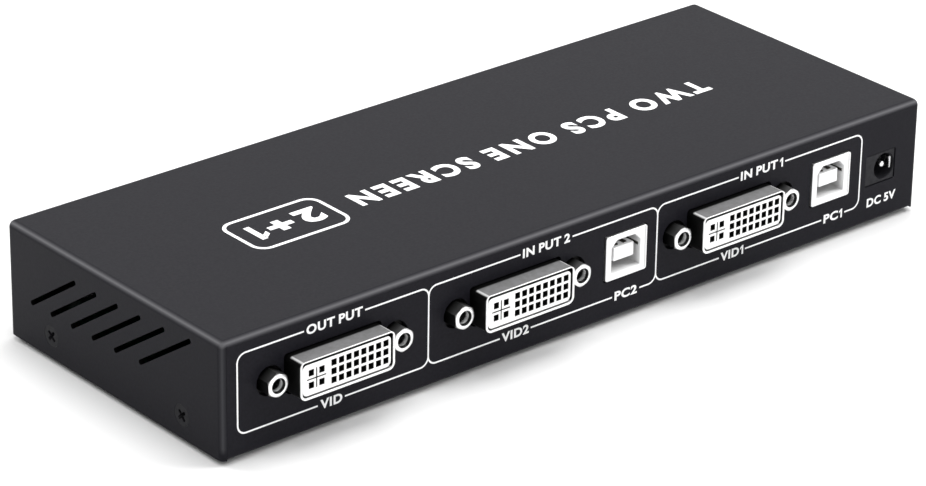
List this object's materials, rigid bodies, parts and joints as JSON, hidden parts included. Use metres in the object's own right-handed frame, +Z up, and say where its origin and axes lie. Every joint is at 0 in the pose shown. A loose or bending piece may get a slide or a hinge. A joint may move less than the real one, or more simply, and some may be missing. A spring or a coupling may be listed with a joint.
{
  "type": "kvm switch",
  "caption": "Flat steel box that lets one screen, keyboard and mouse serve two computers, with video, USB and power sockets and a push button.",
  "frame": {"origin": "bottom centre of the box, on the surface that its feet rest on", "axes": "+X along the box towards the end nearest the video output, +Y out of the rear panel with the video sockets, -Y out of the front panel with the button, +Z up"},
  "size_m": [0.201, 0.0842, 0.0282],
  "materials": {
    "black_coat": "fine textured black powder coat",
    "screw_steel": "black oxide",
    "rubber": "matte",
    "board_green": "solder mask",
    "brass": "turned",
    "plated_steel": "bright nickel plate",
    "chip_plastic": "moulded epoxy",
    "can_aluminium": "satin",
    "white_plastic": "moulded",
    "black_plastic": "moulded",
    "lamp_red": "clear tinted",
    "lamp_green": "clear tinted",
    "white_ink": "screen-printed ink",
    "gold_contact": "gold flash over nickel"
  },
  "bodies": {
    "switch_box": {"top_cover": "black_coat", "base_chassis": "black_coat", "cover_screw_near_front": "screw_steel", "foot_near_front": "rubber", "cover_screw_near_rear": "screw_steel", "foot_near_rear": "rubber", "cover_screw_far_front": "screw_steel", "foot_far_front": "rubber", "cover_screw_far_rear": "screw_steel", "foot_far_rear": "rubber", "circuit_board": "board_green", "board_standoff_1": "brass", "board_screw_1": "plated_steel", "board_standoff_2": "brass", "board_screw_2": "plated_steel", "board_standoff_3": "brass", "board_screw_3": "plated_steel", "board_standoff_4": "brass", "board_screw_4": "plated_steel", "video_switch_chip": "chip_plastic", "usb_hub_chip": "chip_plastic", "controller_chip": "chip_plastic", "crystal": "can_aluminium", "capacitor_1": "can_aluminium", "capacitor_2": "can_aluminium", "dvi_output_shell": "plated_steel", "dvi_output_jackscrew_near": "plated_steel", "dvi_output_jackscrew_far": "plated_steel", "dvi_output_insulator": "white_plastic", "dvi_input_2_shell": "plated_steel", "dvi_input_2_jackscrew_near": "plated_steel", "dvi_input_2_jackscrew_far": "plated_steel", "dvi_input_2_insulator": "white_plastic", "dvi_input_1_shell": "plated_steel", "dvi_input_1_jackscrew_near": "plated_steel", "dvi_input_1_jackscrew_far": "plated_steel", "dvi_input_1_insulator": "white_plastic", "usb_b_2_shell": "plated_steel", "usb_b_2_insulator": "white_plastic", "usb_b_1_shell": "plated_steel", "usb_b_1_insulator": "white_plastic", "dc_jack_body": "black_plastic", "dc_jack_pin": "plated_steel", "dc_jack_spring": "plated_steel", "usb_a_1_shell": "plated_steel", "usb_a_1_tongue": "white_plastic", "usb_a_2_shell": "plated_steel", "usb_a_2_tongue": "white_plastic", "usb_a_3_shell": "plated_steel", "usb_a_3_tongue": "white_plastic", "usb_a_4_shell": "plated_steel", "usb_a_4_tongue": "white_plastic", "lamp_power": "lamp_red", "lamp_computer_1": "lamp_green", "lamp_computer_2": "lamp_green", "switch_housing": "black_plastic", "button_return_spring": "plated_steel"},
    "select_button": {"select_button_cap": "black_plastic", "button_plunger": "white_plastic"}
  },
  "joints": [
    {"name": "select_press", "type": "slide", "parent": "switch_box", "child": "select_button", "axis": [0, 1, 0], "range_m": [0, 0.0012], "stiffness_N_per_m": 800, "springref_m": -0.001, "deforming": ["button_return_spring"]}
  ]
}
